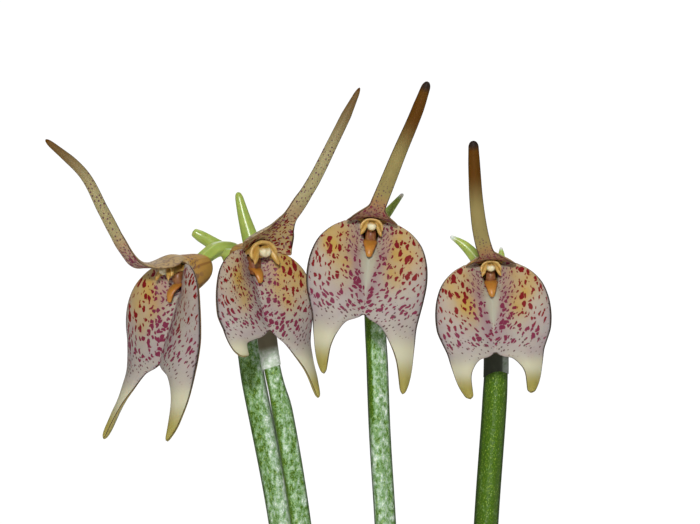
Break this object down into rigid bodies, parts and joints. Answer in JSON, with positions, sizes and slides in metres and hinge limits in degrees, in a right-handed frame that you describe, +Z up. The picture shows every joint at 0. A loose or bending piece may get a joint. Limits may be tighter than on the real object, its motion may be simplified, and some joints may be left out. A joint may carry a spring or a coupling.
{
  "type": "potted masdevallia guttulata",
  "caption": "Tufted orchid in a round clay pot: upright leathery leaves and slender three-cornered stalks, each with one small spotted flower with long tails.",
  "frame": {"origin": "middle of the pot's base, on the surface that it stands on", "axes": "+Z up; -Y toward the viewer, the side that most of the flowers face; +X to the viewer's right"},
  "size_m": [0.0846, 0.0902, 0.2263],
  "materials": {
    "terracotta": "matt",
    "bark_mix": "rough",
    "leaf_blade": "satin",
    "flower_stalk": "satin",
    "sepal": "satin",
    "column": "satin",
    "lip": "satin"
  },
  "bodies": {
    "root": {"pot": "terracotta", "potting_mix": "bark_mix", "leaf_1": "leaf_blade", "leaf_2": "leaf_blade", "leaf_3": "leaf_blade", "leaf_4": "leaf_blade", "leaf_5": "leaf_blade", "leaf_6": "leaf_blade", "leaf_7": "leaf_blade", "leaf_8": "leaf_blade", "leaf_9": "leaf_blade", "leaf_10": "leaf_blade", "leaf_11": "leaf_blade", "leaf_12": "leaf_blade", "flower_stalk_1": "flower_stalk", "flower_stalk_2": "flower_stalk", "flower_stalk_3": "flower_stalk", "flower_stalk_4": "flower_stalk", "flower_1_sepals": "sepal", "flower_1_column": "column", "flower_1_lip": "lip", "flower_2_sepals": "sepal", "flower_2_column": "column", "flower_2_lip": "lip", "flower_3_sepals": "sepal", "flower_3_column": "column", "flower_3_lip": "lip", "flower_4_sepals": "sepal", "flower_4_column": "column", "flower_4_lip": "lip"}
  },
  "joints": []
}
